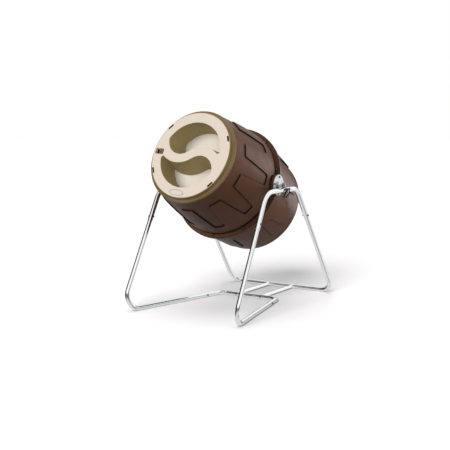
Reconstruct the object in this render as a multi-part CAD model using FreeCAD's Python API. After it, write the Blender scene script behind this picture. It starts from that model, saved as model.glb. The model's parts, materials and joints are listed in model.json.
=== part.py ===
import FreeCAD, Part
import math
import os

# Compost tumbler: a two-part plastic drum that turns end over end on a steel tube stand.
# Millimetres, +Z up, origin on the floor at the middle of the stand's footprint.
# -Y is the front, where the lid looks; +X is the right-hand side seen from the front.

V = FreeCAD.Vector
TINY = 1e-3
X_AXIS, Y_AXIS, Z_AXIS = V(1, 0, 0), V(0, 1, 0), V(0, 0, 1)

# ---------------------------------------------------------------- stand
TUBE_R = 12.7                # floor and leg tubes, 1 inch
TUBE_WALL = 1.5
SLEEVE_R = 14.2              # upper tubes slip over the legs
SLEEVE_FIT = 0.05            # radial play of a leg inside its upper tube
FOOT_X = 377.0               # where a leg's axis would meet the floor tube's axis
PIVOT_Y = -80.0
PIVOT_Z = 730.0
FRONT_REACH = 543.4          # pivot to front foot corner, along the floor
REAR_REACH = 655.0
TOP_X = 364.0
TOP_HALF = 176.0             # half the top bar between its two corners
AXLE_RISE = 30.0             # axle above the top bar's axis
FRONT_TOP_BEND = 115.0
REAR_TOP_BEND = 80.0
FRONT_FOOT_BEND = 81.0
REAR_FOOT_BEND = 78.0
JOINT_SHARE = 0.28           # how far down a leg the upper tube ends
JOINT_OVERLAP = 60.0
NOTCH_X = 202.0              # the front floor bar dips back to clear a barrow
NOTCH_Y = 166.0
NOTCH_BEND = 55.0
NOTCH_JOINT_Y = 60.0         # where the middle tube meets the front legs' floor runs
NECK_R = 11.1                # swaged end that goes into the next tube
CROSS_X = 89.0               # two tie bars between the floor tubes
CROSS_R = 9.5
CROSS_PLUG = 30.0            # solid length at each end of a tie bar, for its screw
HOLE_PLAY = 0.3              # radial room of the stand's bolts and screws in their holes
JOINT_BOLT_R = 3.0
JOINT_HEX, JOINT_HEAD, JOINT_NUT = 10.0, 4.5, 5.0
CROSS_SCREW_R = 3.0
CROSS_HEAD = 4.0
CROSS_SCREW_SHORT = 6.0      # how far a tie bar's screw stops short of the solid end's bottom
SADDLE_BOLT_Y = 40.0
SADDLE_BOLT_R = 3.0
SADDLE_HEX, SADDLE_HEAD = 11.0, 5.0
THREAD_END = 2.0             # thread showing past a nut

# ---------------------------------------------------------------- axle bearings
BUSH_OUT_R = 15.7
BUSH_LONG = 24.0
STRAP_R = 18.8
STRAP_T = 3.0
STRAP_WIDE = 22.0
STRAP_TAB = 52.0

# ---------------------------------------------------------------- lock bail
BAIL_Y = PIVOT_Y + 34.0      # between the saddle's bolt and the bar's rear bend
BAIL_HALF = 22.0
BAIL_WIRE_R = 3.4
BAIL_PIN_X = 382.6
BAIL_PIN_RISE = 7.0          # the pin's height above the top bar's axis
BAIL_DROP = 26.0
BAIL_TOE = V(-20.0, 0, -50.0)
BAIL_BENDS = (14.0, 11.0, 11.0, 14.0)
PIN_R = 2.0
PIN_FIT = 0.06
PIN_END = 5.0                # pin past the bail's middle line, each side
CLIP_HALF = 14.0
CLIP_T = 2.2
CLIP_TAIL = 8.0              # how far the hook runs past the middle, under the bar
EYE_R = 4.6

# ---------------------------------------------------------------- drum
DRUM_TILT = 24.5             # lid's axis above horizontal
WALL = 4.0
MID_R = 319.0                # outer radius at the mid plane
SHOULDER_R = 272.0
SHOULDER_S = 388.0           # distances along the drum's axis from the mid plane
FRONT_BULGE = 6.0
REAR_R = 298.0
REAR_S = 365.0
REAR_BULGE = 5.0
REAR_ROUND = 17.0
DISH_R = 190.0               # shallow dish in the closed end
DISH_DEEP = 10.0
PANEL_RISE = 7.0
PANEL_COUNT = 10
PANEL_PHASE = -2.0           # angle of the first gap's middle, degrees from +X
GAP_HALF_WIDE = 54.0
GAP_HALF_NARROW = 33.0
GAP_CORNER = 14.0
GAP_START = 98.0
PANEL_OVERRUN = 60.0         # cutters run this far past what they cut
BAND_START = 32.0            # the raised band begins here, past the groove beside the flange
FRONT_PANEL_END = 314.0
REAR_PANEL_END = 268.0
GROOVE_R = 309.0
FLANGE_R = 342.0
RIM_R = 346.0
FLANGE_T = 9.0
FLANGE_SCREW_R = 2.5
FLANGE_SCREW_PLAY = 0.2
FLANGE_HEX, FLANGE_HEAD, FLANGE_NUT = 8.0, 3.5, 4.0
FLANGE_PCD_R = 328.0
FLANGE_PAD_R = 8.0
FLANGE_PAD_RISE = 3.0
RIM_LAP = 7.0                # the rear half's rim laps the front flange's edge
RIM_GAP = 0.8
PAD_X = 340.0                # flat pads for the pivot plates
PAD_R = 62.0
PAD_ROOT_X = 300.0
NECK_OUT_R = 262.0
NECK_TOP = 396.0

# ---------------------------------------------------------------- axle and plates
AXLE_R = 12.7
AXLE_END_X = 384.0
AXLE_FIT = 0.05
PLATE_R = 58.0
PLATE_T = 3.0
PLATE_PCD_R = 46.0
PLATE_BOLT_R = 4.0
PLATE_BOLT_ANGLES = (14, 104, 194, 284)
PLATE_HEX, PLATE_HEAD, PLATE_NUT = 11.0, 3.5, 5.0
CAP_HEAD = 2.5
CAP_PLUG = 14.0
AXLE_WALL = 2.0

# ---------------------------------------------------------------- lid
LID_TOP = 425.0
LID_WALL = 3.5
FACE_R = 252.5
STEP_R = 259.0
STEP_S = 408.0
RING_S = 402.0
SKIRT_R = 273.0
SKIRT_BOTTOM = 389.5
RING_ROUND = 4.5             # rounds at the skirt's top edge and the face's edge
FACE_ROUND = 6.0
STEP_COVE = 4.0
WELL_R = 193.0               # both hand wells lie inside this circle
WELL_DEPTH = 135.0
WELL_DRAFT_RIDGE = 24.0      # how far each wall leans in from mouth to floor
WELL_DRAFT_RIM = 8.0
WELL_CORNER = 13.0           # rounds of a well's two ends, at its mouth and at its floor
WELL_FLOOR_CORNER = 5.0
RIDGE_LOW = (V(-71, 116, 0), 162.0)   # the S ridge is two tangent arcs: centre and radius
RIDGE_HIGH = (V(70, -100, 0), 96.0)
SLOT_R = 243.0
SLOT_LONG = 36.0
SLOT_WIDE = 11.0
SLOT_DEEP = 8.0
SLOT_ANGLES = (23.5, 136.5, 203.5, 316.5)
LATCH_ANGLE = 175.0
LATCH_IN = 185.0
LATCH_OUT = 241.0
LATCH_WIDE = 34.0
LATCH_LONG = 29.0
LATCH_PLAY = 0.5
LATCH_DEEP = 9.0
LATCH_WINDOW = (219.0, 237.0)   # window through the pocket's floor, outside the catch
LATCH_CORNER = 7.0
LATCH_RIDGE = (3.5, 22.0, 2.0)  # finger ridge: thickness, length, height above the face
LATCH_RIDGE_OFF = 7.0
OVAL_AT = (-27.0, -222.0)
OVAL_HALF = (48.0, 17.0)
OVAL_RISE, OVAL_BEAD = 1.2, 3.0
COLLAR_IN_R = 238.0
COLLAR_T = 3.0
COLLAR_DEEP = 18.0           # the part of the collar that reaches down inside the neck
LUG_WIDE, LUG_LONG = 7.5, 30.0
LUG_ROOM = 1.5               # between a lug's top and the underside of the lid's face
COLLAR_SCREW_R = 2.0
COLLAR_SCREW_LONG = 10.0
COLLAR_SCREW_PCD_R = 254.0
COLLAR_SCREW_ANGLES = [60 * k for k in range(6)]
COLLAR_HEX, COLLAR_HEAD = 6.0, 2.0
SEAL_ROOM = 0.8              # round the seal, inside the skirt and outside the neck

PIVOT = V(0, PIVOT_Y, PIVOT_Z)
DRUM_PLACE = FreeCAD.Placement(PIVOT, FreeCAD.Rotation(X_AXIS, 90 - DRUM_TILT))


# ================================================================ helpers
def save(name, shape):
    """Write one node's solid, or group of separate solids, as a STEP file."""
    shape.exportStep("parts/" + name + ".step")


def polar(radius, degrees, height=0.0):
    a = math.radians(degrees)
    return V(radius * math.cos(a), radius * math.sin(a), height)


def cylinder(radius, length, base, axis):
    return Part.makeCylinder(radius, length, base, axis)


def pipe_shell(outer, inner, length, base, axis):
    return cylinder(outer, length, base, axis).cut(cylinder(inner, length, base, axis))


def hexagon(across_flats, height, base, axis):
    """A hexagonal nut or bolt head standing on base."""
    radius = across_flats / math.sqrt(3)
    points = [polar(radius, 60 * k) for k in range(7)]
    prism = Part.Face(Part.makePolygon(points)).extrude(V(0, 0, height))
    prism = prism.common(Part.makeCone(radius * 1.02 + height * 0.25, radius * 0.9, height))
    prism.Placement = FreeCAD.Placement(base, FreeCAD.Rotation(Z_AXIS, axis))
    return prism


def bolt(radius, length, across_flats, head, base, axis):
    """A hex bolt: its head stands on base against the axis, and its shank runs along the axis."""
    shank = cylinder(radius, length, base, axis)
    return shank.fuse(hexagon(across_flats, head, base, axis * -1)).removeSplitter()


def nut(radius, across_flats, height, base, axis):
    return hexagon(across_flats, height, base, axis).cut(cylinder(radius, height, base, axis))


def group(solids):
    return Part.makeCompound(solids)


def mirror_x(shape):
    return shape.mirror(V(0, 0, 0), X_AXIS)


def both_sides(shape):
    return [shape, mirror_x(shape)]


def bent_path(points, radii):
    """Straight runs through the points, with an arc of the given radius at each inner point."""
    edges, start = [], points[0]
    for before, corner, after, radius in zip(points, points[1:], points[2:], radii):
        u, w = (before - corner).normalize(), (after - corner).normalize()
        half = u.getAngle(w) / 2
        reach = radius / math.tan(half)
        middle = (u + w).normalize()
        first, last = corner + u * reach, corner + w * reach
        mid = corner + middle * (radius / math.sin(half) - radius)
        edges.append(Part.makeLine(start, first))
        edges.append(Part.Arc(first, mid, last).toShape())
        start = last
    edges.append(Part.makeLine(start, points[-1]))
    return Part.Wire(edges)


def sweep_tube(points, radii, outer, inner):
    """A round tube along a bent path; inner of None makes it solid."""
    path = bent_path(points, radii)
    direction = (points[1] - points[0]).normalize()
    solids = []
    for radius in (outer, inner):
        if radius is None:
            continue
        ring = Part.Wire(Part.makeCircle(radius, points[0], direction))
        solids.append(path.makePipeShell([ring], True, False))
    return solids[0] if len(solids) == 1 else solids[0].cut(solids[1])


# ================================================================ stand
TUBE_IN = TUBE_R - TUBE_WALL
FLOOR = TUBE_R
TOP_Z = PIVOT_Z - AXLE_RISE
BAIL_PIN_Z = TOP_Z + BAIL_PIN_RISE
FRONT_Y = PIVOT_Y - FRONT_REACH
REAR_Y = PIVOT_Y + REAR_REACH
FRONT_FOOT = V(FOOT_X, FRONT_Y, FLOOR)
REAR_FOOT = V(FOOT_X, REAR_Y, FLOOR)
TOP_FRONT = V(TOP_X, PIVOT_Y - TOP_HALF, TOP_Z)
TOP_REAR = V(TOP_X, PIVOT_Y + TOP_HALF, TOP_Z)
NOTCH_CORNER = V(NOTCH_X, NOTCH_Y, FLOOR)


def along(start, end, share):
    return start + (end - start) * share


def toward(start, end, distance):
    return start + (end - start).normalize() * distance


FRONT_JOINT = along(TOP_FRONT, FRONT_FOOT, JOINT_SHARE)
REAR_JOINT = along(TOP_REAR, REAR_FOOT, JOINT_SHARE)
NOTCH_JOINT = along(NOTCH_CORNER, FRONT_FOOT, (NOTCH_Y - NOTCH_JOINT_Y) / (NOTCH_Y - FRONT_Y))


def bolt_hole(radius, centre, axis, reach):
    return cylinder(radius, 2 * reach, centre - axis * reach, axis)


def joint_place(joint, top, foot):
    """Centre and axis of the bolt through an upper tube and the leg inside it."""
    return toward(joint, top, JOINT_OVERLAP / 2), X_AXIS


FRONT_BOLT = joint_place(FRONT_JOINT, TOP_FRONT, FRONT_FOOT)
REAR_BOLT = joint_place(REAR_JOINT, TOP_REAR, REAR_FOOT)
RUN = (FRONT_FOOT - NOTCH_CORNER).normalize()
RUN_SIDE = V(-RUN.y, RUN.x, 0)          # level with the floor, outwards from the run
FLOOR_BOLT = (toward(NOTCH_JOINT, FRONT_FOOT, JOINT_OVERLAP / 2), RUN_SIDE)


def upper_frame():
    """The right-hand inverted U: two legs' upper ends and the bar that carries the axle."""
    tube = sweep_tube([FRONT_JOINT, TOP_FRONT, TOP_REAR, REAR_JOINT],
                      [FRONT_TOP_BEND, REAR_TOP_BEND], SLEEVE_R, TUBE_R + SLEEVE_FIT)
    for centre, axis in (FRONT_BOLT, REAR_BOLT):
        tube = tube.cut(bolt_hole(JOINT_BOLT_R + HOLE_PLAY, centre, axis, 2 * SLEEVE_R))
    for side in (-1, 1):
        centre = V(TOP_X, PIVOT_Y + side * SADDLE_BOLT_Y, TOP_Z)
        tube = tube.cut(bolt_hole(SADDLE_BOLT_R + HOLE_PLAY, centre, Z_AXIS, 2 * SLEEVE_R))
    return tube


def front_leg():
    """A front leg with its foot bend and its run back along the floor."""
    top = toward(FRONT_JOINT, TOP_FRONT, JOINT_OVERLAP)
    tube = sweep_tube([top, FRONT_FOOT, NOTCH_JOINT], [FRONT_FOOT_BEND], TUBE_R, TUBE_IN)
    tube = tube.cut(bolt_hole(JOINT_BOLT_R + HOLE_PLAY, *FRONT_BOLT, 2 * TUBE_R))
    return tube.cut(bolt_hole(JOINT_BOLT_R + HOLE_PLAY, *FLOOR_BOLT, 2 * TUBE_R))


def front_middle_tube():
    """The middle of the front floor bar, with swaged ends that go into the front legs' runs."""
    corners = [NOTCH_JOINT, NOTCH_CORNER, V(-NOTCH_X, NOTCH_Y, FLOOR)]
    points = corners + [V(-NOTCH_JOINT.x, NOTCH_JOINT.y, FLOOR)]
    tube = sweep_tube(points, [NOTCH_BEND, NOTCH_BEND], TUBE_R, TUBE_IN)
    start = NOTCH_JOINT - RUN * TUBE_WALL
    swage = pipe_shell(NECK_R, NECK_R - TUBE_WALL, JOINT_OVERLAP + TUBE_WALL, start, RUN)
    swage = swage.fuse(pipe_shell(TUBE_R, NECK_R - TUBE_WALL, TUBE_WALL, start, RUN))
    hole = bolt_hole(JOINT_BOLT_R + HOLE_PLAY, *FLOOR_BOLT, 2 * TUBE_R)
    for piece in both_sides(swage):
        tube = tube.fuse(piece)
    for piece in both_sides(hole):
        tube = tube.cut(piece)
    for x in (CROSS_X, -CROSS_X):
        tube = tube.cut(bolt_hole(CROSS_SCREW_R + HOLE_PLAY, V(x, NOTCH_Y, FLOOR), Y_AXIS, 2 * TUBE_R))
    return tube.removeSplitter()


def rear_frame_tube():
    """Both rear legs and the straight floor bar between them, bent from one tube."""
    top = toward(REAR_JOINT, TOP_REAR, JOINT_OVERLAP)
    foot_left, top_left = V(-REAR_FOOT.x, REAR_Y, FLOOR), V(-top.x, top.y, top.z)
    tube = sweep_tube([top, REAR_FOOT, foot_left, top_left], [REAR_FOOT_BEND] * 2, TUBE_R, TUBE_IN)
    for side in (1, -1):
        centre = V(side * REAR_BOLT[0].x, REAR_BOLT[0].y, REAR_BOLT[0].z)
        tube = tube.cut(bolt_hole(JOINT_BOLT_R + HOLE_PLAY, centre, X_AXIS, 2 * TUBE_R))
        cross = V(side * CROSS_X, REAR_Y, FLOOR)
        tube = tube.cut(bolt_hole(CROSS_SCREW_R + HOLE_PLAY, cross, Y_AXIS, 2 * TUBE_R))
    return tube


def crossbar():
    """Tie bar from the middle tube to the rear tube, with coped ends that take a screw each."""
    length = REAR_Y - NOTCH_Y
    bar = cylinder(CROSS_R, length, V(CROSS_X, NOTCH_Y, FLOOR), Y_AXIS)
    hollow = length - 2 * (TUBE_R + CROSS_PLUG)
    start = V(CROSS_X, NOTCH_Y + TUBE_R + CROSS_PLUG, FLOOR)
    bar = bar.cut(cylinder(CROSS_R - TUBE_WALL, hollow, start, Y_AXIS))
    for y in (NOTCH_Y, REAR_Y):
        bar = bar.cut(cylinder(TUBE_R, 4 * CROSS_R, V(CROSS_X - 2 * CROSS_R, y, FLOOR), X_AXIS))
        reach = TUBE_R + CROSS_PLUG - CROSS_SCREW_SHORT / 2
        bar = bar.cut(bolt_hole(CROSS_SCREW_R, V(CROSS_X, y, FLOOR), Y_AXIS, reach))
    return bar


def crossbar_screws():
    """Four screws, heads outside the two floor tubes."""
    screws = []
    length = 2 * TUBE_R + CROSS_PLUG - CROSS_SCREW_SHORT
    for x in (CROSS_X, -CROSS_X):
        for y, axis in ((NOTCH_Y - TUBE_R, Y_AXIS), (REAR_Y + TUBE_R, Y_AXIS * -1)):
            screws.append(bolt(CROSS_SCREW_R, length, JOINT_HEX, CROSS_HEAD, V(x, y, FLOOR), axis))
    return group(screws)


JOINTS = ((FRONT_BOLT, SLEEVE_R), (REAR_BOLT, SLEEVE_R), (FLOOR_BOLT, TUBE_R))


def joint_bolts():
    bolts = []
    for (centre, axis), reach in JOINTS:
        length = 2 * reach + JOINT_NUT + THREAD_END
        right = bolt(JOINT_BOLT_R, length, JOINT_HEX, JOINT_HEAD, centre + axis * reach, axis * -1)
        bolts += both_sides(right)
    return group(bolts)


def joint_nuts():
    nuts = []
    for (centre, axis), reach in JOINTS:
        nuts += both_sides(nut(JOINT_BOLT_R, JOINT_HEX, JOINT_NUT, centre - axis * reach, axis * -1))
    return group(nuts)


# ================================================================ axle bearings
def bearing():
    """Nylon bush, free on the axle and held by the strap on top of the top bar."""
    base = V(TOP_X - BUSH_LONG / 2, PIVOT_Y, PIVOT_Z)
    return pipe_shell(BUSH_OUT_R, AXLE_R + AXLE_FIT, BUSH_LONG, base, X_AXIS)


def saddle():
    """Steel strap over the bush, with a tab each side bolted down through the top bar."""
    left = TOP_X - STRAP_WIDE / 2
    tab_z = TOP_Z + SLEEVE_R
    ring = cylinder(STRAP_R, STRAP_WIDE, V(left, PIVOT_Y, PIVOT_Z), X_AXIS)

    def slab(half_y, low, high):
        return Part.makeBox(STRAP_WIDE, 2 * half_y, high - low, V(left, PIVOT_Y - half_y, low))

    strap = ring.fuse(slab(STRAP_R, tab_z, PIVOT_Z)).cut(slab(2 * STRAP_R, 0, tab_z))
    strap = strap.fuse(slab(STRAP_TAB, tab_z, tab_z + STRAP_T))
    strap = strap.cut(cylinder(BUSH_OUT_R, STRAP_WIDE, V(left, PIVOT_Y, PIVOT_Z), X_AXIS))
    strap = strap.cut(slab(BUSH_OUT_R, tab_z, PIVOT_Z))
    for side in (-1, 1):
        centre = V(TOP_X, PIVOT_Y + side * SADDLE_BOLT_Y, tab_z)
        strap = strap.cut(bolt_hole(SADDLE_BOLT_R + HOLE_PLAY, centre, Z_AXIS, 2 * STRAP_T))
    return strap.removeSplitter()


def saddle_hardware(rear_shim):
    """Bolts and nuts of one saddle, as two lists; the shim is what the rear nut sits under."""
    bolts, nuts = [], []
    head_z = TOP_Z + SLEEVE_R + STRAP_T
    for y, shim in ((PIVOT_Y - SADDLE_BOLT_Y, 0), (PIVOT_Y + SADDLE_BOLT_Y, rear_shim)):
        nut_z = TOP_Z - SLEEVE_R - shim
        length = head_z - nut_z + SADDLE_HEAD + THREAD_END
        head, under = V(TOP_X, y, head_z), V(TOP_X, y, nut_z)
        bolts.append(bolt(SADDLE_BOLT_R, length, SADDLE_HEX, SADDLE_HEAD, head, Z_AXIS * -1))
        nuts.append(nut(SADDLE_BOLT_R, SADDLE_HEX, SADDLE_HEAD, under, Z_AXIS * -1))
    return bolts, nuts


# ================================================================ lock bail
def bail_clip():
    """Black hook round the outer half of the top bar, with an eye for the bail's pin."""
    front = BAIL_Y - CLIP_HALF
    band = cylinder(SLEEVE_R + CLIP_T, 2 * CLIP_HALF, V(TOP_X, front, TOP_Z), Y_AXIS)
    reach = V(2 * SLEEVE_R, 2 * CLIP_HALF, BAIL_PIN_Z - TOP_Z + 2 * SLEEVE_R)
    keep = Part.makeBox(*reach, V(TOP_X - CLIP_TAIL, front, TOP_Z - 2 * SLEEVE_R))
    eye = cylinder(EYE_R, 2 * CLIP_HALF, V(BAIL_PIN_X, front, BAIL_PIN_Z), Y_AXIS)
    clip = band.common(keep).fuse(eye)
    clip = clip.cut(cylinder(SLEEVE_R, 2 * CLIP_HALF, V(TOP_X, front, TOP_Z), Y_AXIS))
    clip = clip.cut(cylinder(PIN_R, 2 * CLIP_HALF, V(BAIL_PIN_X, front, BAIL_PIN_Z), Y_AXIS))
    bolt_point = V(TOP_X, PIVOT_Y + SADDLE_BOLT_Y, TOP_Z - SLEEVE_R)
    return clip.cut(bolt_hole(SADDLE_BOLT_R + HOLE_PLAY, bolt_point, Z_AXIS, SLEEVE_R / 2)).removeSplitter()


def bail_pin():
    half = BAIL_HALF + PIN_END
    return cylinder(PIN_R, 2 * half, V(BAIL_PIN_X, BAIL_Y - half, BAIL_PIN_Z), Y_AXIS)


def lock_bail():
    """Black U of wire that hangs from the pin, its toe tucked in under the top bar."""
    pin = V(BAIL_PIN_X, BAIL_Y, BAIL_PIN_Z)
    side = Y_AXIS * BAIL_HALF
    knee = V(0, 0, -BAIL_DROP)
    points = [pin + side, pin + side + knee, pin + side + BAIL_TOE,
              pin - side + BAIL_TOE, pin - side + knee, pin - side]
    wire = sweep_tube(points, BAIL_BENDS, BAIL_WIRE_R, None)
    for sign in (-1, 1):
        y = BAIL_Y + sign * BAIL_HALF - BAIL_WIRE_R
        wire = wire.fuse(cylinder(EYE_R, 2 * BAIL_WIRE_R, V(BAIL_PIN_X, y, BAIL_PIN_Z), Y_AXIS))
    reach = 2 * BAIL_HALF
    hole = cylinder(PIN_R + PIN_FIT, 2 * reach, pin - Y_AXIS * reach, Y_AXIS)
    return wire.cut(hole).removeSplitter()


# ================================================================ drum shells
def arc_profile(r_start, r_end, length, bulge, offset):
    """Shallow convex arc from (r_start, 0) to (r_end, length), moved out by offset, as an edge."""
    middle = V((r_start + r_end) / 2 + bulge + offset, 0, length / 2)
    return Part.Arc(V(r_start + offset, 0, 0), middle, V(r_end + offset, 0, length)).toShape()


def body_solid(r_start, r_end, length, bulge, offset, end_round):
    """Solid of revolution on the mid plane; offset moves its side and far end out."""
    side = arc_profile(r_start, r_end, length, bulge, offset)
    top = side.Vertexes[-1].Point
    edges = [Part.makeLine(V(0, 0, 0), side.Vertexes[0].Point), side]
    edges += [Part.makeLine(top, V(0, 0, length)), Part.makeLine(V(0, 0, length), V(0, 0, 0))]
    solid = Part.Face(Part.Wire(edges)).revolve(V(0, 0, 0), Z_AXIS, 360)
    if end_round:
        rims = [e for e in solid.Edges if e.BoundBox.ZMin > length - TINY and e.Length > r_end]
        solid = solid.makeFillet(end_round, rims)
    return solid


def gap_cutters(far, inset):
    """Radial prisms between the raised panels: narrow by the flange, wide at the panels' far end."""
    wide_share = (far - GAP_START) / (FRONT_PANEL_END - GAP_START)
    half_far = GAP_HALF_NARROW + (GAP_HALF_WIDE - GAP_HALF_NARROW) * wide_share
    low, high = GAP_START - inset, far + PANEL_OVERRUN
    grow = (half_far - GAP_HALF_NARROW) / (far - GAP_START)
    half_low = GAP_HALF_NARROW + inset
    half_high = half_low + grow * (high - low)
    outline = [V(0, -half_low, low), V(0, half_low, low), V(0, half_high, high),
               V(0, -half_high, high)]
    prism = Part.Face(Part.makePolygon(outline + outline[:1])).extrude(V(2 * MID_R, 0, 0))
    corners = [e for e in prism.Edges if e.BoundBox.ZMax < low + TINY and e.BoundBox.XMax > MID_R
               and e.BoundBox.XMin < TINY]
    prism = prism.makeFillet(GAP_CORNER + inset, corners)
    step = 360.0 / PANEL_COUNT
    return [prism.rotated(V(0, 0, 0), Z_AXIS, PANEL_PHASE + step * k) for k in range(PANEL_COUNT)]


def moulded_solid(r_end, length, bulge, panel_end, end_round, inset):
    """The shell's outer form with its raised panels, or the same form moved in by inset."""
    core = body_solid(MID_R, r_end, length, bulge, -inset, end_round)
    core = core.cut(ring_at(2 * MID_R, GROOVE_R - inset, 0, BAND_START + inset))
    raised = body_solid(MID_R, r_end, length, bulge, PANEL_RISE - inset, 0)
    band = raised.common(ring_at(2 * MID_R, MID_R / 2, BAND_START + inset, panel_end - inset))
    return core.fuse(band.cut(gap_cutters(panel_end, inset)))


def plate_bolt_points(x):
    return [V(x, PLATE_PCD_R * math.cos(math.radians(a)), PLATE_PCD_R * math.sin(math.radians(a)))
            for a in PLATE_BOLT_ANGLES]


def half_space(length):
    return Part.makeCylinder(2 * MID_R, length, V(0, 0, 0), Z_AXIS)


def flange_screw_angles():
    step = 360.0 / PANEL_COUNT
    return [PANEL_PHASE + step * (k + 0.5) for k in range(PANEL_COUNT)]


def side_disc(radius, x_low, x_high):
    """Discs about the axle on both sides of the drum, as one shape."""
    disc = cylinder(radius, x_high - x_low, V(x_low, 0, 0), X_AXIS)
    return disc.fuse(mirror_x(disc))


def add_side_pads(shell, length):
    """Flat round pads for the pivot plates, open behind so that the nuts can be reached."""
    shell = shell.cut(side_disc(PAD_R, PAD_X, 2 * PAD_X))
    shell = shell.fuse(side_disc(PAD_R, PAD_ROOT_X, PAD_X).common(half_space(length)))
    return shell.cut(side_disc(PAD_R - WALL, PAD_ROOT_X - WALL, PAD_X - WALL))


def drill_sides(shell):
    """Holes for the axle and for the pivot plates' bolts, through both sides."""
    shell = shell.cut(cylinder(AXLE_R, 4 * MID_R, V(-2 * MID_R, 0, 0), X_AXIS))
    for point in plate_bolt_points(-2 * MID_R):
        shell = shell.cut(cylinder(PLATE_BOLT_R, 4 * MID_R, point, X_AXIS))
    return shell


def add_flange(outer, flange_r):
    """Fuses the bolting flange on, with a pad and a hole for each screw."""
    outer = outer.fuse(ring_at(flange_r, GROOVE_R - WALL, 0, FLANGE_T))
    hole_r, pad_top = FLANGE_SCREW_R + FLANGE_SCREW_PLAY, FLANGE_T + FLANGE_PAD_RISE
    for a in flange_screw_angles():
        outer = outer.fuse(cylinder(FLANGE_PAD_R, pad_top, polar(FLANGE_PCD_R, a), Z_AXIS))
    for a in flange_screw_angles():
        outer = outer.cut(cylinder(hole_r, 2 * pad_top, polar(FLANGE_PCD_R, a, -FLANGE_T), Z_AXIS))
    return outer


def ring_at(outer, inner, low, high):
    return Part.makeCylinder(outer, high - low, V(0, 0, low), Z_AXIS).cut(
        Part.makeCylinder(inner, high - low, V(0, 0, low), Z_AXIS))


def front_drum_half():
    """Front shell: panels, flange, pads, and a mouth with an upright neck for the lid."""
    form = (SHOULDER_R, SHOULDER_S, FRONT_BULGE, FRONT_PANEL_END, 0)
    neck = ring_at(NECK_OUT_R, NECK_OUT_R - WALL, SHOULDER_S - WALL, NECK_TOP)
    outer = moulded_solid(*form, 0).fuse(neck)
    inner = moulded_solid(*form, WALL).common(half_space(SHOULDER_S - WALL))
    mouth = cylinder(NECK_OUT_R - WALL, 3 * WALL, V(0, 0, SHOULDER_S - 2 * WALL), Z_AXIS)
    shell = add_flange(outer, FLANGE_R).cut(inner).cut(mouth)
    return drill_sides(add_side_pads(shell, SHOULDER_S)).removeSplitter()


def rear_drum_half():
    """Rear shell, built towards +Z and then turned over: closed end, flange and lapping rim."""
    form = (REAR_R, REAR_S, REAR_BULGE, REAR_PANEL_END)
    outer = add_flange(moulded_solid(*form, REAR_ROUND, 0), RIM_R)
    inner = moulded_solid(*form, REAR_ROUND - WALL, WALL).common(half_space(REAR_S - WALL))
    inner = inner.cut(Part.makeCone(DISH_R + WALL, DISH_R + WALL + DISH_DEEP, DISH_DEEP,
                                    V(0, 0, REAR_S - DISH_DEEP - WALL), Z_AXIS))
    dish = Part.makeCone(DISH_R, DISH_R + DISH_DEEP, DISH_DEEP, V(0, 0, REAR_S - DISH_DEEP), Z_AXIS)
    shell = add_side_pads(outer.cut(inner).cut(dish), REAR_S).mirror(V(0, 0, 0), Z_AXIS)
    rim = ring_at(RIM_R, FLANGE_R + RIM_GAP, -FLANGE_T, RIM_LAP)
    rim = rim.cut(side_disc(PAD_R + RIM_GAP, PAD_ROOT_X, 2 * PAD_X))
    return drill_sides(shell.fuse(rim)).removeSplitter()


def flange_screws():
    top = FLANGE_T + FLANGE_PAD_RISE
    length = 2 * top + FLANGE_NUT + THREAD_END
    return group([bolt(FLANGE_SCREW_R, length, FLANGE_HEX, FLANGE_HEAD, polar(FLANGE_PCD_R, a, top),
                       Z_AXIS * -1) for a in flange_screw_angles()])


def flange_nuts():
    low = FLANGE_T + FLANGE_PAD_RISE
    return group([nut(FLANGE_SCREW_R, FLANGE_HEX, FLANGE_NUT, polar(FLANGE_PCD_R, a, -low),
                      Z_AXIS * -1) for a in flange_screw_angles()])


# ================================================================ axle and its plates
def axle_tube():
    """Steel tube right through the drum; it turns with the drum in the two bushes."""
    return pipe_shell(AXLE_R, AXLE_R - AXLE_WALL, 2 * AXLE_END_X, V(-AXLE_END_X, 0, 0), X_AXIS)


def pivot_plate():
    """Round plate on the drum's side pad, with the axle through its middle."""
    plate = cylinder(PLATE_R, PLATE_T, V(PAD_X, 0, 0), X_AXIS)
    plate = plate.cut(cylinder(AXLE_R, PLATE_T, V(PAD_X, 0, 0), X_AXIS))
    for point in plate_bolt_points(PAD_X):
        plate = plate.cut(cylinder(PLATE_BOLT_R, PLATE_T, point, X_AXIS))
    return plate


def plate_hardware():
    """Bolts and nuts of one pivot plate, as two lists."""
    bolts, nuts = [], []
    grip = PLATE_T + WALL
    for point in plate_bolt_points(PAD_X + PLATE_T):
        length = grip + PLATE_NUT + THREAD_END
        bolts.append(bolt(PLATE_BOLT_R, length, PLATE_HEX, PLATE_HEAD, point, X_AXIS * -1))
        nuts.append(nut(PLATE_BOLT_R, PLATE_HEX, PLATE_NUT, point - X_AXIS * grip, X_AXIS * -1))
    return bolts, nuts


def axle_cap():
    """Push-in plastic cap on the axle's end."""
    head = cylinder(AXLE_R, CAP_HEAD, V(AXLE_END_X, 0, 0), X_AXIS)
    plug = cylinder(AXLE_R - AXLE_WALL, CAP_PLUG, V(AXLE_END_X - CAP_PLUG, 0, 0), X_AXIS)
    return head.fuse(plug).removeSplitter()


# ================================================================ lid
def circle_cross(big_r, centre, radius, side):
    """Where the circle about centre crosses the circle of big_r about the origin."""
    d = centre.Length
    a = (big_r ** 2 - radius ** 2 + d ** 2) / (2 * d)
    h = math.sqrt(big_r ** 2 - a ** 2)
    unit = centre * (1 / d)
    return unit * a + V(-unit.y, unit.x, 0) * h * side


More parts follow.
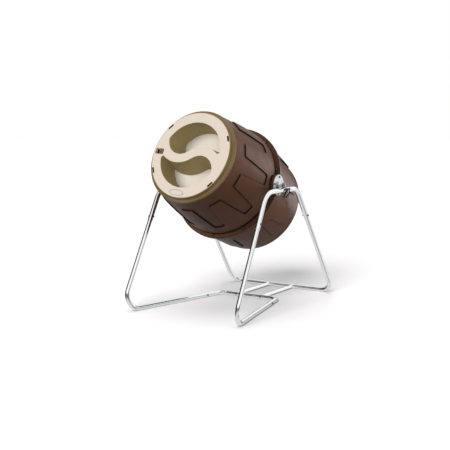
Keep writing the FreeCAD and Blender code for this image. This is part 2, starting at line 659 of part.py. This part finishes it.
def arc_between(centre, radius, start, end, turn):
    """Arc about centre from start to end, turning the given way (+1 is anticlockwise)."""
    a0 = math.atan2(start.y - centre.y, start.x - centre.x)
    a1 = math.atan2(end.y - centre.y, end.x - centre.x)
    sweep = (a1 - a0) * turn % (2 * math.pi) * turn
    mid = a0 + sweep / 2
    middle = centre + V(math.cos(mid), math.sin(mid), 0) * radius
    return Part.Arc(start, middle, end).toShape()


def well_wire(rim_inset, ridge_inset, corner, height):
    """One well's outline: an arc by the rim, the ridge's two arcs, and a round at tip and heel."""
    origin = V(0, 0, 0)
    rim_r = WELL_R - rim_inset
    low, low_r = RIDGE_LOW[0], RIDGE_LOW[1] + ridge_inset
    high, high_r = RIDGE_HIGH[0], RIDGE_HIGH[1] - ridge_inset
    tip = circle_cross(rim_r - corner, low, low_r + corner, 1)
    heel = circle_cross(rim_r - corner, high, high_r - corner, 1)
    tip_rim, tip_low = toward(origin, tip, rim_r), toward(low, tip, low_r)
    heel_rim, heel_high = toward(origin, heel, rim_r), toward(high, heel, high_r)
    seam = toward(high, low, high_r)
    wire = Part.Wire([
        arc_between(origin, rim_r, tip_rim, heel_rim, 1),
        arc_between(heel, corner, heel_rim, heel_high, 1),
        arc_between(high, high_r, heel_high, seam, 1),
        arc_between(low, low_r, seam, tip_low, -1),
        arc_between(tip, corner, tip_low, tip_rim, 1),
    ])
    wire.translate(V(0, 0, height))
    return wire


def well_solid(grow, top, bottom):
    """A well as a drafted solid; grow moves its walls out."""
    floor = well_wire(WELL_DRAFT_RIM - grow, WELL_DRAFT_RIDGE - grow, WELL_FLOOR_CORNER + grow, bottom)
    mouth = well_wire(-grow, -grow, WELL_CORNER + grow, top)
    return Part.makeLoft([floor, mouth], True, True)


def lid_form(inset):
    """The lid's rim and face as a solid of revolution; inset moves its skin in by a wall."""
    skirt, step, face = SKIRT_R - inset, STEP_R - inset, FACE_R - inset
    top = LID_TOP - inset
    corners = [(0, SKIRT_BOTTOM), (skirt, SKIRT_BOTTOM), (skirt, RING_S - inset),
               (step, STEP_S - inset), (face, top), (0, top)]
    rounds = [0.5, RING_ROUND - inset, STEP_COVE + inset, FACE_ROUND - inset]
    outline = bent_path([V(r, 0, s) for r, s in corners], rounds)
    axis = Part.makeLine(V(0, 0, top), V(0, 0, SKIRT_BOTTOM))
    return Part.Face(Part.Wire(outline.Edges + [axis])).revolve(V(0, 0, 0), Z_AXIS, 360)


def radial_box(radius, degrees, size_r, size_t, low, high):
    """Box centred on a radius at an angle, with its length size_t across it."""
    box = Part.makeBox(size_r, size_t, high - low, V(radius - size_r / 2, -size_t / 2, low))
    return box.rotated(V(0, 0, 0), Z_AXIS, degrees)


def round_uprights(box, radius):
    """Rounds the four edges that stand along the lid's axis."""
    uprights = [e for e in box.Edges if abs(e.tangentAt(e.FirstParameter).z) > 0.9]
    return box.makeFillet(radius, uprights)


def latch_box(grow, low, high):
    middle, length = (LATCH_IN + LATCH_OUT) / 2, LATCH_OUT - LATCH_IN
    box = radial_box(middle, LATCH_ANGLE, length + 2 * grow, LATCH_WIDE + 2 * grow, low, high)
    return round_uprights(box, LATCH_CORNER + grow)


def lid():
    """Lid: stepped rim, two deep wells with an S ridge between, slots for the lugs, latch pocket."""
    shell = lid_form(0).cut(lid_form(LID_WALL))
    low = LID_TOP - WELL_DEPTH
    for turn in (0, 180):
        cup = well_solid(LID_WALL, LID_TOP, low - LID_WALL).rotated(V(0, 0, 0), Z_AXIS, turn)
        shell = shell.fuse(cup)
    for turn in (0, 180):
        shell = shell.cut(well_solid(0, LID_TOP + TINY, low).rotated(V(0, 0, 0), Z_AXIS, turn))
    pocket_low = LID_TOP - LATCH_DEEP
    shell = shell.fuse(latch_box(LID_WALL, pocket_low - LID_WALL, LID_TOP))
    above = LID_TOP + LID_WALL
    shell = shell.cut(latch_box(0, pocket_low, above))
    window_in, window_out = LATCH_WINDOW
    shell = shell.cut(radial_box((window_in + window_out) / 2, LATCH_ANGLE, window_out - window_in,
                                 LATCH_WIDE - 2 * LID_WALL, pocket_low - 2 * LID_WALL, above))
    for a in SLOT_ANGLES:
        shell = shell.cut(radial_box(SLOT_R, a, SLOT_WIDE, SLOT_LONG, LID_TOP - SLOT_DEEP, above))
    return shell.fuse(blank_oval()).removeSplitter()


def blank_oval():
    """Low oval bead on the lid's face, left blank."""
    x, y = OVAL_AT
    centre = V(x, y, LID_TOP - OVAL_RISE)
    turn = math.degrees(math.atan2(y, x)) + 90

    def disc(shrink):
        ellipse = Part.Ellipse(centre, OVAL_HALF[0] - shrink, OVAL_HALF[1] - shrink)
        face = Part.Face(Part.Wire(ellipse.toShape()))
        return face.rotated(centre, Z_AXIS, turn).extrude(V(0, 0, 2 * OVAL_RISE))
    return disc(0).cut(disc(OVAL_BEAD))


def lid_seal():
    """Rubber ring that sits on the drum's shoulder under the lid's rim."""
    outer, inner = SKIRT_R - LID_WALL - SEAL_ROOM, NECK_OUT_R + SEAL_ROOM
    return ring_at(outer, inner, SHOULDER_S + SEAL_ROOM / 2, RING_S - LID_WALL - 1.5 * SEAL_ROOM)


def lid_latch():
    """Brown catch that slides outwards in its pocket, with two finger ridges."""
    low, top = LID_TOP - LATCH_DEEP + LATCH_PLAY, LID_TOP - LATCH_PLAY
    centre = LATCH_IN + LATCH_PLAY + LATCH_LONG / 2
    body = radial_box(centre, LATCH_ANGLE, LATCH_LONG, LATCH_WIDE - 2 * LATCH_PLAY, low, top)
    body = round_uprights(body, LATCH_CORNER - LATCH_PLAY)
    thick, long, rise = LATCH_RIDGE
    for offset in (-LATCH_RIDGE_OFF, LATCH_RIDGE_OFF):
        body = body.fuse(radial_box(centre + offset, LATCH_ANGLE, thick, long, low, LID_TOP + rise))
    return body.removeSplitter()


def lid_collar():
    """Ring in the drum's mouth; its four upright lugs show through the lid's slots."""
    flange_top, inside = NECK_TOP + COLLAR_T, NECK_OUT_R - WALL
    collar = ring_at(NECK_OUT_R, COLLAR_IN_R, NECK_TOP, flange_top)
    collar = collar.fuse(ring_at(inside, inside - COLLAR_T, NECK_TOP - COLLAR_DEEP, NECK_TOP))
    lug_top = LID_TOP - LID_WALL - LUG_ROOM
    for a in SLOT_ANGLES:
        collar = collar.fuse(radial_box(SLOT_R, a, LUG_WIDE, LUG_LONG, NECK_TOP, lug_top))
    for a in COLLAR_SCREW_ANGLES:
        point = polar(COLLAR_SCREW_PCD_R, a, flange_top - COLLAR_SCREW_LONG)
        collar = collar.cut(cylinder(COLLAR_SCREW_R, COLLAR_SCREW_LONG, point, Z_AXIS))
    return collar.removeSplitter()


def collar_screws():
    top = NECK_TOP + COLLAR_T
    return group([bolt(COLLAR_SCREW_R, COLLAR_SCREW_LONG, COLLAR_HEX, COLLAR_HEAD,
                       polar(COLLAR_SCREW_PCD_R, a, top), Z_AXIS * -1) for a in COLLAR_SCREW_ANGLES])


# ================================================================ write every node
def stand_nodes():
    right_bolts, right_nuts = saddle_hardware(CLIP_T)
    left_bolts, left_nuts = saddle_hardware(0)
    upper, leg, bar, strap, bush = upper_frame(), front_leg(), crossbar(), saddle(), bearing()
    return {
        "upper_frame_right": upper, "upper_frame_left": mirror_x(upper),
        "front_leg_right": leg, "front_leg_left": mirror_x(leg),
        "front_middle_tube": front_middle_tube(), "rear_frame_tube": rear_frame_tube(),
        "crossbar_right": bar, "crossbar_left": mirror_x(bar), "crossbar_screws": crossbar_screws(),
        "joint_bolts": joint_bolts(), "joint_nuts": joint_nuts(),
        "saddle_right": strap, "saddle_left": mirror_x(strap),
        "bearing_right": bush, "bearing_left": mirror_x(bush),
        "saddle_bolts": group(right_bolts + [mirror_x(b) for b in left_bolts]),
        "saddle_nuts": group(right_nuts + [mirror_x(n) for n in left_nuts]),
        "bail_clip": bail_clip(), "bail_pin": bail_pin(), "lock_bail": lock_bail(),
    }


def drum_nodes():
    """Pieces modelled about the drum's own axis, then tilted and lifted to the pivot."""
    right_bolts, right_nuts = plate_hardware()
    pieces = {
        "front_drum_half": front_drum_half(), "rear_drum_half": rear_drum_half(),
        "flange_screws": flange_screws(), "flange_nuts": flange_nuts(),
        "axle_tube": axle_tube(),
        "pivot_plate_right": pivot_plate(), "pivot_plate_left": mirror_x(pivot_plate()),
        "plate_bolts": group(right_bolts + [mirror_x(b) for b in right_bolts]),
        "plate_nuts": group(right_nuts + [mirror_x(n) for n in right_nuts]),
        "axle_cap_right": axle_cap(), "axle_cap_left": mirror_x(axle_cap()),
        "lid_collar": lid_collar(), "collar_screws": collar_screws(),
        "lid_seal": lid_seal(), "lid": lid(), "lid_latch": lid_latch(),
    }
    for shape in pieces.values():
        shape.Placement = DRUM_PLACE.multiply(shape.Placement)
    return pieces


def main():
    os.makedirs("parts", exist_ok=True)
    for name, shape in {**stand_nodes(), **drum_nodes()}.items():
        valid, count = shape.isValid(), len(shape.Solids)
        print(f"{name:20s} solids {count:3d} valid {valid} volume {shape.Volume / 1000:9.1f} cm3")
        save(name, shape)


main()
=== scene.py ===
import json
import math

import bpy
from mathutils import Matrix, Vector


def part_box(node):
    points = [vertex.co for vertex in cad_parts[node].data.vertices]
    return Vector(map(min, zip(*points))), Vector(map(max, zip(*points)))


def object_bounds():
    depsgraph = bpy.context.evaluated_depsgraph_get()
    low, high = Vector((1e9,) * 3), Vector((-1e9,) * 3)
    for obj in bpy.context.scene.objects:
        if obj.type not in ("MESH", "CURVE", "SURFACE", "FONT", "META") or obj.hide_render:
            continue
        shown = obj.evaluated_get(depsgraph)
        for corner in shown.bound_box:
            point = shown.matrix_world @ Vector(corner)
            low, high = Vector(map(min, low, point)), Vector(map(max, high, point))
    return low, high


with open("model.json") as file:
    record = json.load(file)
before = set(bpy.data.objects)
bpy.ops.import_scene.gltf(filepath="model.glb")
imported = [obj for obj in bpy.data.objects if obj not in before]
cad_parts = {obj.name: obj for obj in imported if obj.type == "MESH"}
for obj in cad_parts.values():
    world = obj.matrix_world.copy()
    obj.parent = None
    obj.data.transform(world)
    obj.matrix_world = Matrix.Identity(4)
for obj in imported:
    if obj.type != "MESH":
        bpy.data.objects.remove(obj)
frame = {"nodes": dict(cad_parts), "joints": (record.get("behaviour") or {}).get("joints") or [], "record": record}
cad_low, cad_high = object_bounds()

# Compost tumbler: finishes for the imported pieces, studio floor, light and camera.
# Metres, +Z up. -Y is the front, +X the right-hand side seen from the front.

PLASTICS = ("drum_brown", "collar_brown", "lid_tan", "latch_brown", "seal_black", "cap_plastic")
FLOOR_DROP = 0.0005               # the floor lies just under the feet
FLOOR_HALF = 60.0                 # half of the floor's side
FLOOR_WHITENESS = 0.255
FLOOR_ROUGHNESS = 0.9

# ---------------------------------------------------------------- camera
CAMERA_TARGET = Vector((0.0, -0.0216, 0.400))
CAMERA_AZIMUTH = math.radians(32.2)
CAMERA_ELEVATION = math.radians(7.6)
CAMERA_DISTANCE = 4.929
CAMERA_LENS = 65.5
CAMERA_SHIFT = (-0.018, 0.027)

# ---------------------------------------------------------------- light
# name, direction towards the lamp, strength, softness in degrees, colour, what it lights, and
# whether it shows in the gloss alone or in the soft shading alone
SUNS = (
    ("floor_top", (-0.05, -0.10, 1.0), 4.2, 46.0, (1.0, 0.985, 0.985), "floor", "shading"),
    ("floor_front", (0.17, -0.90, 0.60), 12.4, 30.0, (1.0, 0.98, 0.98), "floor", "shading"),
    ("plastic_top", (-0.25, -0.25, 1.0), 0.3, 40.0, (1.0, 0.985, 0.97), "plastic", "shading"),
    ("key_front_left", (-0.34, -0.84, 0.45), 2.65, 30.0, (1.0, 0.985, 0.965), "plastic", "shading"),
    ("fill_right", (0.62, -0.78, 0.05), 1.15, 40.0, (1.0, 0.96, 0.94), "plastic", "shading"),
    ("sheen", (0.42, 0.90, 0.02), 1.4, 34.0, (1.0, 0.95, 0.92), "plastic", "gloss"),
    ("rim_right", (0.80, 0.58, 0.05), 2.1, 55.0, (1.0, 0.87, 0.82), "plastic", "shading"),
)
# (sine of elevation, brightness) at both ends of each smooth step; the steps are added together
MIRRORED_SKY = (((-0.42, 0.72), (-0.02, 0.18)), ((0.10, 0.0), (0.30, 0.78)))
SOFT_SKY = (((-0.50, 0.20), (0.60, 0.72)),)
# direction, half-width in degrees and change of brightness of each light or dark patch of wall
WALL_PATCHES = (
    ((-0.75, -0.65, -0.05), 42.0, -0.50),
    ((-0.62, -0.50, 0.60), 18.0, -0.60),
    ((-0.90, -0.20, 0.35), 56.0, -0.90),
    ((0.50, -0.75, 0.30), 24.0, 0.60),
    ((0.95, -0.30, -0.05), 14.0, -0.50),
    ((0.55, 0.83, 0.0), 34.0, 0.60),
    ((0.78, 0.11, -0.61), 14.0, -0.75),
)

# ---------------------------------------------------------------- the drum's own axis
LID_AXIS = Vector(next(j for j in frame["joints"] if j["name"] == "lid_lift")["axis"]).normalized()
PIVOT = (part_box("axle_tube")[0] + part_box("axle_tube")[1]) / 2
# heights along the axis between which the well floors' painted light turns into the face's colour
LID_FLOOR, LID_FACE = 0.300, 0.415
LID_TOP = 0.425                     # outside of the face; only the blank oval's bead stands higher
LEDGE_R = 0.2545                    # where the lid's face ends and the ledge below it begins
LEDGE_BLEND = 0.002
WALL_TO_RING = (0.245, 0.255)       # radii between which the wells' olive painted shade turns into the ring's darker painted shade
WALL_TO_FACE = (0.93, 0.985)        # cosines of the slope between which a wall's painted shade gives way to the pale face
BEAD_BLEND = (0.0004, 0.0008)       # heights over LID_TOP between which the bead's colour sets in

# ---------------------------------------------------------------- surfaces
# noise scales, in features per metre
DRUM_CLOUDS, LID_CLOUDS = 5.0, 7.0
WALL_WAVES = 14.0                   # slow unevenness of a moulded wall
DRUM_GLOSS_PATCHES, LID_GLOSS_PATCHES = 22.0, 25.0
SATIN_GRAIN = 900.0
ZINC_GRAIN = 260.0
COAT_WEAR, COAT_GRAIN = 120.0, 500.0
LARGE_SPANGLE, SMALL_SPANGLE = 60.0, 200.0

GRAIN_SHARE = 0.12                  # height of the satin grain beside that of the waves
CLOUD_RANGE = (0.35, 0.65)          # noise values between which a cloud goes from none to full
PATCH_RANGE = (0.3, 0.7)
WEAR_RANGE = (0.4, 0.7)
LID_CLOUD_SHARE = 0.94              # share of its own colour that the lid keeps in the deepest cloud
CREASE_SHADE_REACH = 0.018                # how far from a corner painted shade darkens the brown plastic
CREASE_SHADE_RANGE = (0.62, 0.94)         # share of open air between which the painted crease shade fades out
CREASE_SHADE_SAMPLES = 8
# colour of the painted shade in the deepest creases
PAINTED_CREASE_SHADE = 0.006

# linear colours
# the well floors are painted paler than the face as painted light; the olive well walls and the darker ring are
# painted shade, shaded copies of the same tan plastic
LID_WELL_FLOOR_PAINTED_LIGHT = (0.585, 0.545, 0.485, 1)
LID_FACE_TAN = (0.475, 0.42, 0.362, 1)
LID_WELL_PAINTED_SHADE = (0.305, 0.24, 0.108, 1)
LID_RING_PAINTED_SHADE = (0.118, 0.076, 0.029, 1)
LID_BEAD = (0.26, 0.235, 0.20, 1)


# ================================================================ node helpers
class Tree:
    """Short way to write a material's nodes: each call adds a node and returns its output socket."""

    def __init__(self, name):
        self.material = bpy.data.materials.new(name)
        self.material.use_nodes = True
        self.nodes = self.material.node_tree.nodes
        self.links = self.material.node_tree.links
        self.shader = self.nodes["Principled BSDF"]

    def put(self, socket, value):
        if isinstance(value, bpy.types.NodeSocket):
            self.links.new(value, socket)
        else:
            socket.default_value = value

    def add(self, kind, output, settings=None, **inputs):
        node = self.nodes.new(kind)
        for key, value in (settings or {}).items():
            setattr(node, key, value)
        for key, value in inputs.items():
            self.put(node.inputs[key.replace("_", " ")], value)
        return node.outputs[output]

    def place(self):
        """Position in the row frame at rest, which stays with the piece when it moves."""
        return self.add("ShaderNodeTexCoord", "Object")

    def noise(self, scale, detail, roughness=0.5):
        return self.add("ShaderNodeTexNoise", "Fac", Vector=self.place(), Scale=scale,
                        Detail=detail, Roughness=roughness)

    def remap(self, value, low, high, to_low, to_high):
        node = self.nodes.new("ShaderNodeMapRange")
        for socket, given in zip(node.inputs, (value, low, high, to_low, to_high)):
            self.put(socket, given)
        return node.outputs["Result"]

    def mix(self, share, first, second):
        node = self.nodes.new("ShaderNodeMix")
        node.data_type = "RGBA"
        sockets = [s for s in node.inputs if s.type == "RGBA"]
        self.put(node.inputs["Factor"], share)
        self.put(sockets[0], first)
        self.put(sockets[1], second)
        return next(s for s in node.outputs if s.type == "RGBA")

    def maths(self, operation, first, second):
        node = self.nodes.new("ShaderNodeMath")
        node.operation = operation
        self.put(node.inputs[0], first)
        self.put(node.inputs[1], second)
        return node.outputs["Value"]

    def vector(self, operation, first, second=None):
        node = self.nodes.new("ShaderNodeVectorMath")
        node.operation = operation
        self.put(node.inputs[0], first)
        if second is not None:
            self.put(node.inputs[1], second)
        return next(s for s in node.outputs if s.enabled)

    def facing(self, direction):
        """Cosine between the surface's normal at rest and a fixed direction of the object."""
        return self.vector("DOT_PRODUCT", self.add("ShaderNodeTexCoord", "Normal"), direction)

    def waves_and_grain(self):
        """Height of a moulded wall: slow waves with a fine satin grain on them."""
        grain = self.noise(SATIN_GRAIN, 2.0, 0.6)
        waves = self.noise(WALL_WAVES, 1.0)
        return self.maths("ADD", self.maths("MULTIPLY", grain, GRAIN_SHARE), waves)

    def bump(self, height, strength, distance):
        out = self.add("ShaderNodeBump", "Normal", Height=height, Strength=strength, Distance=distance)
        self.put(self.shader.inputs["Normal"], out)

    def finish(self, color, roughness, metallic=0.0, specular=0.5):
        self.put(self.shader.inputs["Base Color"], color)
        self.put(self.shader.inputs["Roughness"], roughness)
        self.shader.inputs["Metallic"].default_value = metallic
        self.shader.inputs["Specular IOR Level"].default_value = specular
        return self.material


def shade(value):
    """Grey of the given linear value, as a colour."""
    return (value, value, value, 1.0)


# ================================================================ materials
def moulded_plastic(name, color, light_color, roughness):
    """Blow-moulded plastic: cloudy colour, painted shade darkening its creases, satin grain and slow waves."""
    t = Tree(name)
    cloud = t.remap(t.noise(DRUM_CLOUDS, 3.0), *CLOUD_RANGE, 0.0, 1.0)
    # painted shade: corners and creases are darkened by how little open air reaches them
    open_air = t.add("ShaderNodeAmbientOcclusion", "AO", {"samples": CREASE_SHADE_SAMPLES},
                     Distance=CREASE_SHADE_REACH)
    unshaded = t.remap(open_air, *CREASE_SHADE_RANGE, 0.0, 1.0)
    base = t.mix(unshaded, shade(PAINTED_CREASE_SHADE), t.mix(cloud, color, light_color))
    t.bump(t.waves_and_grain(), strength=0.22, distance=0.004)
    patches = t.noise(DRUM_GLOSS_PATCHES, 3.0)
    rough = t.remap(patches, *PATCH_RANGE, roughness - 0.05, roughness + 0.07)
    return t.finish(base, rough, specular=0.07)


def lid_plastic():
    """Lid plastic: tan face, well floors painted paler as painted light, and painted shade in olive on the well
    walls and dark olive on the sides.
    """
    t = Tree("lid_tan")
    from_pivot = t.vector("SUBTRACT", t.place(), PIVOT)
    height = t.vector("DOT_PRODUCT", from_pivot, LID_AXIS)
    radius = t.vector("LENGTH", t.vector("CROSS_PRODUCT", from_pivot, LID_AXIS))
    facing = t.facing(LID_AXIS)
    cloud = t.remap(t.noise(LID_CLOUDS, 3.0), *CLOUD_RANGE, LID_CLOUD_SHARE, 1.0)
    # painted light: the deep well floors are painted paler than the face
    face = t.mix(t.remap(height, LID_FLOOR, LID_FACE, 0.0, 1.0), LID_WELL_FLOOR_PAINTED_LIGHT, LID_FACE_TAN)
    # painted shade: walls and ring take the olive shaded colours
    side = t.mix(t.remap(radius, *WALL_TO_RING, 0.0, 1.0), LID_WELL_PAINTED_SHADE, LID_RING_PAINTED_SHADE)
    inner = t.remap(radius, LEDGE_R, LEDGE_R + LEDGE_BLEND, 1.0, 0.0)
    pale = t.maths("MULTIPLY", t.remap(facing, *WALL_TO_FACE, 0.0, 1.0), inner)
    bead_low, bead_high = (LID_TOP + rise for rise in BEAD_BLEND)
    raised = t.remap(height, bead_low, bead_high, 0.0, 1.0)
    color = t.mix(raised, t.mix(pale, side, face), LID_BEAD)
    color = t.mix(cloud, shade(0.5), color)
    t.bump(t.waves_and_grain(), strength=0.15, distance=0.003)
    rough = t.remap(t.noise(LID_GLOSS_PATCHES, 3.0), *PATCH_RANGE, 0.42, 0.54)
    return t.finish(color, rough, specular=0.08)


def zinc(name, value, roughness, spangle=LARGE_SPANGLE):
    """Zinc-plated steel: slightly blue, with soft crystal patches in its gloss."""
    t = Tree(name)
    crystals = t.add("ShaderNodeTexVoronoi", "Color", Vector=t.place(), Scale=spangle)
    patch = t.remap(crystals, 0.0, 1.0, 0.92, 1.0)
    base = t.mix(patch, shade(value * 0.8), (value, value * 1.01, value * 1.03, 1))
    rough = t.remap(crystals, 0.0, 1.0, roughness - 0.05, roughness + 0.06)
    t.bump(t.noise(ZINC_GRAIN, 3.0, 0.6), strength=0.05, distance=0.001)
    return t.finish(base, rough, metallic=1.0)


def dark_coat(name, value, roughness):
    """Dark small parts, paler and duller where they are worn."""
    t = Tree(name)
    wear = t.remap(t.noise(COAT_WEAR, 4.0), *WEAR_RANGE, 0.0, 1.0)
    base = t.mix(wear, shade(value), shade(value * 1.8))
    t.bump(t.noise(COAT_GRAIN, 2.0), strength=0.1, distance=0.0006)
    return t.finish(base, t.remap(wear, 0.0, 1.0, roughness, roughness + 0.15))


def make_materials():
    """Material of each slot that the record names."""
    return {
        "tube_zinc": zinc("tube_zinc", 0.92, 0.11),
        "plate_zinc": zinc("plate_zinc", 0.92, 0.38),
        "bolt_steel": zinc("bolt_steel", 0.11, 0.30, SMALL_SPANGLE),
        "screw_zinc": zinc("screw_zinc", 0.34, 0.40, SMALL_SPANGLE),
        "axle_steel": zinc("axle_steel", 0.45, 0.35),
        "nylon": dark_coat("nylon", 0.020, 0.45),
        "cap_plastic": dark_coat("cap_plastic", 0.030, 0.40),
        "bail_black": dark_coat("bail_black", 0.005, 0.50),
        "drum_brown": moulded_plastic("drum_brown", (0.068, 0.031, 0.018, 1),
                                      (0.078, 0.036, 0.022, 1), 0.37),
        "collar_brown": moulded_plastic("collar_brown", (0.075, 0.040, 0.028, 1),
                                        (0.09, 0.05, 0.036, 1), 0.45),
        "lid_tan": lid_plastic(),
        "seal_black": dark_coat("seal_black", 0.015, 0.6),
        "latch_brown": moulded_plastic("latch_brown", (0.16, 0.095, 0.066, 1),
                                       (0.19, 0.115, 0.08, 1), 0.42),
    }


def dress_cad_nodes(materials):
    """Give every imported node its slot's material in place of the plain one that it came with."""
    for entry in frame["record"]["subparts"]:
        node = frame["nodes"][entry["node"]]
        node.data.materials.clear()
        node.data.materials.append(materials[entry["material_slot"]])


# ================================================================ stage
def make_floor():
    """Plain pale floor at the feet's height; only the camera sees it, and it holds the shadows."""
    mesh = bpy.data.meshes.new("floor")
    corners = [(FLOOR_HALF * x, FLOOR_HALF * y, 0) for x, y in ((-1, -1), (1, -1), (1, 1), (-1, 1))]
    mesh.from_pydata(corners, [], [(0, 1, 2, 3)])
    floor = bpy.data.objects.new("floor", mesh)
    floor.location.z = cad_low.z - FLOOR_DROP
    bpy.context.scene.collection.objects.link(floor)
    t = Tree("floor_white")
    t.finish(shade(FLOOR_WHITENESS), FLOOR_ROUGHNESS, specular=0.0)
    clear = t.add("ShaderNodeBsdfTransparent", "BSDF")
    seen = t.add("ShaderNodeLightPath", "Is Camera Ray")
    choose = t.nodes.new("ShaderNodeMixShader")
    for socket, value in zip(choose.inputs, (seen, clear, t.shader.outputs["BSDF"])):
        t.put(socket, value)
    t.put(t.nodes["Material Output"].inputs["Surface"], choose.outputs["Shader"])
    mesh.materials.append(t.material)


def sun(name, toward, strength, softness, color):
    """Sun lamp shining from the direction toward, with soft shadows."""
    data = bpy.data.lights.new(name, "SUN")
    data.energy = strength
    data.angle = math.radians(softness)
    data.color = color
    lamp = bpy.data.objects.new(name, data)
    lamp.rotation_mode = "QUATERNION"
    lamp.rotation_quaternion = Vector(toward).to_track_quat("Z", "Y")
    bpy.context.scene.collection.objects.link(lamp)
    return lamp


def make_lights():
    """Soft lamps, each for the floor or the plastic alone; the metal only mirrors the studio."""
    groups = {kind: bpy.data.collections.new(kind + "_only") for kind in ("floor", "plastic")}
    groups["floor"].objects.link(bpy.data.objects["floor"])
    for entry in frame["record"]["subparts"]:
        if entry["material_slot"] in PLASTICS:
            groups["plastic"].objects.link(frame["nodes"][entry["node"]])
    for name, toward, strength, softness, color, lights, shows_in in SUNS:
        lamp = sun(name, toward, strength, softness, color)
        lamp.light_linking.receiver_collection = groups[lights]
        lamp.visible_glossy = shows_in == "gloss"
        lamp.visible_diffuse = shows_in == "shading"


def make_world():
    """White to the camera; gloss mirrors a studio with light and dark walls; the rest is soft."""
    world = bpy.data.worlds.new("studio")
    bpy.context.scene.world = world
    world.use_nodes = True
    tree = world.node_tree

    def add(kind, operation, *values):
        node = tree.nodes.new(kind)
        if operation:
            node.operation = operation
        for socket, value in zip(node.inputs, values):
            if isinstance(value, bpy.types.NodeSocket):
                tree.links.new(value, socket)
            else:
                socket.default_value = value
        return node

    way = tree.nodes.new("ShaderNodeTexCoord").outputs["Generated"]
    split = add("ShaderNodeSeparateXYZ", None, way)

    def sky(steps):
        total = 0.0
        for (low, at_low), (high, at_high) in steps:
            step = add("ShaderNodeMapRange", None, split.outputs["Z"], low, high, at_low, at_high)
            step.interpolation_type = "SMOOTHSTEP"
            total = add("ShaderNodeMath", "ADD", total, step.outputs["Result"]).outputs["Value"]
        return total

    total = sky(MIRRORED_SKY)
    for direction, spread, change in WALL_PATCHES:
        aim = Vector(direction).normalized()
        near = add("ShaderNodeVectorMath", "DOT_PRODUCT", way, aim).outputs["Value"]
        patch = add("ShaderNodeMapRange", None, near, math.cos(math.radians(spread)), 1.0, 0.0, change)
        patch.interpolation_type = "SMOOTHSTEP"
        total = add("ShaderNodeMath", "ADD", total, patch.outputs["Result"]).outputs["Value"]
    total = add("ShaderNodeMath", "MAXIMUM", total, 0.0).outputs["Value"]
    seen_by = tree.nodes.new("ShaderNodeLightPath").outputs
    mirrored, soft = (add("ShaderNodeBackground", None, shade(1.0), level).outputs[0]
                      for level in (total, sky(SOFT_SKY)))
    white = add("ShaderNodeBackground", None, shade(1.0), 1.0).outputs[0]
    studio = add("ShaderNodeMixShader", None, seen_by["Is Glossy Ray"], soft, mirrored).outputs[0]
    whole = add("ShaderNodeMixShader", None, seen_by["Is Camera Ray"], studio, white).outputs[0]
    tree.links.new(whole, tree.nodes["World Output"].inputs["Surface"])


def make_camera():
    """Camera low in front of the right-hand side, aimed at a point below the drum."""
    data = bpy.data.cameras.new("camera")
    data.lens = CAMERA_LENS
    data.shift_x, data.shift_y = CAMERA_SHIFT
    camera = bpy.data.objects.new("camera", data)
    level = math.cos(CAMERA_ELEVATION)
    back = Vector((math.sin(CAMERA_AZIMUTH) * level, -math.cos(CAMERA_AZIMUTH) * level,
                   math.sin(CAMERA_ELEVATION)))
    camera.location = CAMERA_TARGET + back * CAMERA_DISTANCE
    camera.rotation_mode = "QUATERNION"
    camera.rotation_quaternion = (-back).to_track_quat("-Z", "Y")
    bpy.context.scene.collection.objects.link(camera)
    bpy.context.scene.camera = camera


dress_cad_nodes(make_materials())
make_floor()
make_lights()
make_world()
make_camera()
bpy.context.scene.view_settings.view_transform = "Standard"
